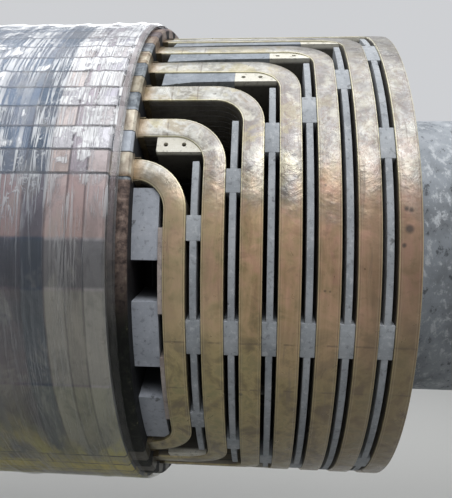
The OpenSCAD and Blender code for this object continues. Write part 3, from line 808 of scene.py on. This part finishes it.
def film_creases(m, cyl, lit):
    """Long, short and crossing creases, stronger in groups, and drawn stronger on the lit top as painted
    highlight.
    """
    groups = m.noise(m.scaled(cyl, (15.0, 5.0, 1.0)), 1.0, 3, 0.6, 0.4)
    creases = m.thin(m.noise(m.scaled(cyl, (62.0, 1.9, 1.0)), 1.0, 2, 0.55, 0.25), 0.040)
    shorter = m.thin(m.noise(m.scaled(cyl, (105.0, 5.0, 1.0), (4.0, 0.0, 0.0)), 1.0, 2, 0.55, 0.3), 0.050)
    crossing = m.thin(m.noise(m.scaled(cyl, (44.0, 26.0, 1.0), (1.0, 6.0, 0.0)), 1.0, 3, 0.6, 0.9), 0.022)
    creases = m.max(creases, m.mul(shorter, m.step(groups, 0.44, 0.56)))
    creases = m.max(creases, m.mul(crossing, m.step(groups, 0.54, 0.64)))
    # Creases drawn stronger on the lit top: painted highlight
    creases = m.mul(creases, m.add(0.22, m.mul(lit, 0.50)))
    return m.mul(creases, m.add(0.45, m.mul(m.step(groups, 0.40, 0.62), 0.55)))


def film_glare(m, cyl, fine, patch, near, crown, inside, z):
    """Painted glare: white patches for the light the flat film mirrors, most of them on top and near the
    shoulder.
    """
    glare = m.noise(m.scaled(cyl, (22.0, 22.0, 1.0), (7.0, 1.0, 0.0)), 1.0, 4, 0.60, 0.3)
    glare = m.add(glare, m.mul(m.sub(patch, 0.5), 0.28))
    glare = m.add(glare, m.mul(near, m.add(0.11, m.mul(crown, 0.06))))
    glare = m.sub(glare, m.mul(m.band(inside, RINGS[2], RINGS[3], 0.003), 0.05))
    glare = m.step(m.add(glare, m.sub(m.mul(crown, 0.07), 0.03)), 0.55, 0.67)
    glare = m.mul(glare, m.add(0.40, m.mul(m.step(fine, 0.40, 0.56), 0.55)))
    return m.mul(glare, m.step(z, 0.02, 0.16))


def film_material():
    """Clear film drawn tight, with thin white creases that run round the body, painted glare and a bluish
    painted sheen on top, and painted shade on its lower hem.
    """
    m = Nodes("clear_wrinkled_film")
    fold = m.attr("fold")
    x, ang, _, _, z = angle_of(m)
    cyl = m.vec(x, m.mul(ang, BODY_R * D2R), 0.0)
    slot_edge, wedge, number = slot_tiles(m, ang)
    inside = from_shoulder(m, x)
    # lit and crown mark the upper side; the film's colours that follow them are painted light
    lit = m.step(z, -0.08, 0.16)
    crown = m.step(z, 0.24, 0.50)
    near = m.inv(m.step(inside, RINGS[2] - 0.002, RINGS[2] + 0.004))
    patch = m.chance(m.vec(number, wedge, m.math("FLOOR", m.math("DIVIDE", inside, FLAT_PATCH))))
    creases = film_creases(m, cyl, lit)
    fine = m.noise(m.scaled(cyl, (190.0, 14.0, 1.0)), 1.0, 4, 0.62, 0.5)
    glare = film_glare(m, cyl, fine, patch, near, crown, inside, z)
    # Folds paler on the lit top: partly the film's whitened folds, partly painted highlight
    ridge = m.mul(m.mul(m.step(fold, 0.6, 1.1), m.step(fine, 0.42, 0.58)), m.add(0.12, m.mul(lit, 0.30)))
    # White from the film's whitened creases and folds, with painted highlight and painted glare
    milky_creases_and_glare = m.max(m.max(creases, glare), ridge)
    hem = m.inv(m.step(inside, -0.0050, -0.0035))
    milky_creases_and_glare = m.mul(milky_creases_and_glare, m.inv(m.max(m.mul(slot_edge, 0.65), m.mul(hem, 0.8))))
    drip = m.noise(m.scaled(cyl, (16.0, 5.0, 1.0), (3.0, 0.0, 0.0)), 1.0, 4, 0.6, 0.5)
    drip = m.add(drip, m.mul(ang, 0.005))
    drip = m.mul(m.step(drip, 0.60, 0.76), m.band(ang, 18.0, 62.0, 4.0))
    wide = m.t.nodes.new("ShaderNodeLayerWeight")
    wide.inputs["Blend"].default_value = 0.30
    alpha = m.add(0.16, m.add(m.mul(crown, 0.10), m.mul(drip, 0.30)))
    alpha = m.add(alpha, m.mul(milky_creases_and_glare, 0.80))
    alpha = m.add(alpha, m.mul(hem, m.add(0.04, m.mul(m.step(z, -0.14, -0.02), 0.51))))
    alpha = m.add(alpha, m.mul(wide.outputs["Facing"], 0.12), clamp=True)
    # Lighter and bluer on the lit top: painted reflection
    beyond = m.mix(lit, (106, 112, 118), (126, 142, 164))
    col = m.mix(near, beyond, m.mix(lit, (134, 134, 128), (150, 150, 158)))
    # Bluish white on the crown: painted sheen
    col = m.mix(m.mul(crown, 0.65), col, (214, 222, 234))
    col = m.mix(m.mul(drip, 0.8), col, (150, 140, 70))
    # The hem is near black below and lavender on top: painted shade on its lower side
    col = m.mix(m.mul(hem, 0.85), col, m.mix(lit, (36, 36, 36), (112, 94, 96)))
    # A dark line at the film's edge: painted shadow
    edge_shadow = m.inv(m.step(inside, 0.0035 - FILM_OVER, 0.0045 - FILM_OVER))
    col = m.mix(m.mul(edge_shadow, 0.9), col, (20, 17, 17))
    col = m.mix(milky_creases_and_glare, col, (250, 251, 253))
    bump = m.bump(m.add(creases, m.mul(fine, 0.8)), 0.6, 0.004)
    m.mat.surface_render_method = "BLENDED"
    return m.done(col, 0.16, 0.0, bump, Alpha=alpha, IOR=1.6, Coat_Weight=0.6, Coat_Roughness=0.05)


# Pieces

MAT = {
    "copper": copper_material(),
    "steel": steel_material(),
    "wedge": wedge_material(),
    "grey": laminate_material(
        "grey_laminate_worn", (138, 143, 148), (160, 165, 170), (178, 182, 186), (204, 206, 208),
        top_r=BLOCK_OUT_R),
    "packer": laminate_material(
        "grey_laminate_packer", (116, 122, 129), (136, 143, 151), (154, 161, 169), (180, 184, 188),
        top_r=BLOCK_OUT_R),
    "tan": laminate_material(
        "tan_laminate_worn", (190, 186, 168), (218, 214, 200), (230, 227, 216), (240, 238, 230),
        top_r=BLOCK_OUT_R, side_shade=(30, 27, 22), fade=0.009),
    "pale": laminate_material(
        "pale_laminate_smooth", (150, 155, 163), (166, 171, 180), (178, 182, 190), (192, 195, 200),
        top_r=BLOCK_OUT_R - BLOCK_SINK),
    "cream": laminate_material(
        "cream_liner_aged", (138, 126, 120), (162, 150, 144), (180, 170, 164), (200, 192, 186),
        top_r=BLOCK_OUT_R, side_shade=(60, 52, 46)),
    "liner": laminate_material(
        "liner_laminate_aged", (62, 54, 40), (88, 78, 58), (112, 100, 76), (150, 138, 110)),
    "film": film_material(),
}

# The material of each CAD node whose own shape is shown
NODE_MATERIALS = {
    "rotor_forging": "steel", "slot_wedges": "wedge", "slot_liners": "liner",
    "leg_packers_coupling": "packer", "leg_packers_far": "packer",
    "drilled_blocks_coupling": "tan", "drilled_blocks_far": "tan",
    "pole_blocks_coupling": "pale", "pole_blocks_far": "pale",
    "pole_liners_coupling": "cream", "pole_liners_far": "cream",
}


def strip_parts(k, pole, far):
    """The strip outside end turn k, and the spacer blocks on it, as lists of rings."""
    z0 = turn_far(k)
    z1 = z0 + TURN_GAP - FIT
    mid = z0 + TURN_GAP / 2
    half = leg_angle(k + 1) - STRIP_BACK
    side, arc = side_block(k)
    spans = [(0, CENTRE_ARC / 2), (side, arc / 2), (-side, arc / 2)]
    if k == COILS - 1:
        spans += [(side * EXTRA_PLACE, SIDE_ARC / 2), (-side * EXTRA_PLACE, SIDE_ARC / 2)]
    parts = [arc_rings(-half, half, BLOCK_OUT_R, mid - STRIP_W / 2, mid + STRIP_W / 2, pole, far)]
    for a, h in spans:
        parts.append(arc_rings(a - h, a + h, BLOCK_OUT_R + SPACER_PROUD, z0 + FIT, z1, pole, far))
    return parts


for k in range(1, COILS + 1):
    for pole, letter in enumerate("ab"):
        pts, faces, attrs = coil_mesh(k, pole)
        mesh_object(f"copper_coil_{k}{letter}", pts, faces, MAT["copper"],
                    f"coil_{k}{letter}", attrs, sharp=38)

for far, end in ((True, "far"), (False, "coupling")):
    for pole, letter in enumerate("ab"):
        parts = []
        for k in range(1, COILS):
            parts += strip_parts(k, pole, far)
        name = f"strips_{letter}_{end}"
        bevelled("blocked_" + name, parts, MAT["grey"], name)

for ob_name, key in NODE_MATERIALS.items():
    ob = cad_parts[ob_name]
    for i in range(len(ob.material_slots)):
        ob.material_slots[i].material = MAT[key]
    if not ob.material_slots:
        ob.data.materials.append(MAT[key])


# The film: points round it and along it, how many long and short folds, its gap, and how high folds stand
FILM_ROUND, FILM_ALONG = 288, 268
LONG_FOLDS, SHORT_FOLDS = 46, 60
FILM_GAP, FOLD_HEIGHT = 0.0008, 0.0042
# How far the film's hem is drawn in, and over what length
HEM_DROP, HEM_LEN = 0.004, 0.008


def film_tube():
    """The film as one wrinkled tube, drawn round the body with folds that run round it."""
    na, nx = FILM_ROUND, FILM_ALONG
    ang = np.linspace(0, 2 * np.pi, na, endpoint=False)
    xs = np.linspace(BODY_START - FILM_OVER, SHOULDER + FILM_OVER, nx)
    X, A = np.meshgrid(xs, ang, indexing="ij")
    h = np.zeros_like(X)
    for i in range(LONG_FOLDS):
        c = xs[0] + (i + 0.5) * (xs[-1] - xs[0]) / LONG_FOLDS + rng.normal(0, 0.012)
        a0, span = rng.uniform(0, 2 * np.pi), rng.uniform(0.7, 2.6)
        lean = rng.normal(0, 0.018)
        d = np.angle(np.exp(1j * (A - a0)))
        width = rng.uniform(0.005, 0.011)
        ridge = np.exp(-((X - c - lean * d - 0.006 * np.sin(3 * d + i)) / width) ** 2)
        h += rng.uniform(0.4, 1.0) * ridge * np.exp(-(d / span) ** 4)
    for _ in range(SHORT_FOLDS):
        c, a0 = rng.uniform(xs[0], xs[-1]), rng.uniform(0, 2 * np.pi)
        d = np.angle(np.exp(1j * (A - a0)))
        high, lean = rng.uniform(0.3, 0.9), rng.normal(0, 0.25)
        width, span = rng.uniform(0.004, 0.009), rng.uniform(0.10, 0.3)
        h += high * np.exp(-((X - c - lean * d) / width) ** 2 - (d / span) ** 2)
    h = np.minimum(h, 1.3)
    R = BODY_R + FILM_GAP + FOLD_HEIGHT * h
    edge = np.minimum(X - xs[0], xs[-1] - X)
    R -= HEM_DROP * np.clip(1 - edge / HEM_LEN, 0, 1)
    V = np.stack([X, R * np.cos(A), R * np.sin(A)], -1).reshape(-1, 3)
    faces = []
    for i in range(nx - 1):
        for j in range(na):
            k = (j + 1) % na
            faces.append((i * na + j, i * na + k, (i + 1) * na + k, (i + 1) * na + j))
    return V, faces, {"fold": h.reshape(-1)}


pts, faces, attrs = film_tube()
film = mesh_object("wrinkled_film", pts, faces, MAT["film"], "film_wrap", attrs)

# Floor, light and camera

FLOOR_Z = -1.10
FLOOR_X, FLOOR_Y = (-14, 20), (-14, 16)
# What the world looks like, and what it sends on the object
WORLD_SEEN, WORLD_LIGHT = (0.62, 0.63, 0.65, 1), (0.19, 0.195, 0.205, 1)
# Each lamp's name, place, target, size, power and colour
LAMPS = (
    ("overhead", (4.4, -1.1, 3.4), (4.4, -0.2, 0), (7.0, 4.6), 210, (0.99, 0.995, 1.0)),
    ("front", (6.0, -4.5, 4.2), (4.6, 0, 0), (3.6, 2.4), 108, (0.97, 0.98, 1.0)),
    ("back", (2.5, 4.5, 2.8), (3.8, 0, 0), (5.0, 2.0), 70, (0.96, 0.98, 1.0)),
)
CAMERA_PLACE, CAMERA_LENS = (4.7615, -1.301, -0.0045), 37.27
YAW, PITCH, ROLL = 4.09, 0.49, -0.97


def stage_material(name, color, bounce):
    """A floor that shows pale, and sends less light back up on the object than so pale a floor would."""
    m = Nodes(name)
    n = m.noise(m.obj, 0.8, 3, 0.5)
    col = m.mix(n, color, tuple(min(255, v + 5) for v in color))
    path = m.t.nodes.new("ShaderNodeLightPath")
    mirrored = m.max(path.outputs["Is Glossy Ray"], path.outputs["Is Transmission Ray"])
    seen = m.max(path.outputs["Is Camera Ray"], mirrored)
    return m.done(m.mix(seen, bounce, col), 0.75)


(x0, x1), (y0, y1) = FLOOR_X, FLOOR_Y
fm = bpy.data.meshes.new("floor")
corners = [(x, y, FLOOR_Z) for x, y in ((x0, y0), (x1, y0), (x1, y1), (x0, y1))]
fm.from_pydata(corners, [], [(0, 1, 2, 3)])
floor = bpy.data.objects.new("floor", fm)
bpy.context.scene.collection.objects.link(floor)
fm.materials.append(stage_material("pale_floor", (200, 200, 197), (120, 120, 118)))

world = bpy.data.worlds.new("studio")
bpy.context.scene.world = world
world.use_nodes = True
wt = world.node_tree
bg = wt.nodes["Background"]
lp = wt.nodes.new("ShaderNodeLightPath")
seen = wt.nodes.new("ShaderNodeMath")
seen.operation = "MAXIMUM"
wt.links.new(lp.outputs["Is Camera Ray"], seen.inputs[0])
mirrored = wt.nodes.new("ShaderNodeMath")
mirrored.operation = "MAXIMUM"
wt.links.new(lp.outputs["Is Glossy Ray"], mirrored.inputs[0])
wt.links.new(lp.outputs["Is Transmission Ray"], mirrored.inputs[1])
wt.links.new(mirrored.outputs[0], seen.inputs[1])
wc = wt.nodes.new("ShaderNodeMix")
wc.data_type = "RGBA"
wt.links.new(seen.outputs[0], wc.inputs[0])
wc.inputs[6].default_value = WORLD_LIGHT
wc.inputs[7].default_value = WORLD_SEEN
wt.links.new(wc.outputs[2], bg.inputs["Color"])
bg.inputs["Strength"].default_value = 1.0


def area_light(name, place, target, size, power, color):
    li = bpy.data.lights.new(name, "AREA")
    li.shape = "RECTANGLE"
    li.size, li.size_y = size
    li.energy = power
    li.color = color
    ob = bpy.data.objects.new(name, li)
    bpy.context.scene.collection.objects.link(ob)
    ob.location = place
    ob.rotation_mode = "QUATERNION"
    ob.rotation_quaternion = (Vector(target) - Vector(place)).to_track_quat("-Z", "Y")


for lamp in LAMPS:
    area_light(*lamp)

cam_data = bpy.data.cameras.new("camera")
cam = bpy.data.objects.new("camera", cam_data)
bpy.context.scene.collection.objects.link(cam)
bpy.context.scene.camera = cam
cam_data.sensor_fit = "AUTO"
cam_data.sensor_width = 36.0
cam_data.lens = CAMERA_LENS


def turn_y(deg):
    c, s = math.cos(deg * D2R), math.sin(deg * D2R)
    return Matrix(((c, 0, s), (0, 1, 0), (-s, 0, c)))


turn = Matrix.Rotation(YAW * D2R, 3, "Z") @ Matrix.Rotation(PITCH * D2R, 3, "X") @ turn_y(ROLL)
right, forward, up = turn @ Vector((1, 0, 0)), turn @ Vector((0, 1, 0)), turn @ Vector((0, 0, 1))
rot = Matrix((right, up, -forward)).transposed()
cam.matrix_world = Matrix.Translation(CAMERA_PLACE) @ rot.to_4x4()
cam_data.clip_start, cam_data.clip_end = 0.05, 60

bpy.context.scene.view_settings.view_transform = "Standard"

bpy.context.view_layer.update()
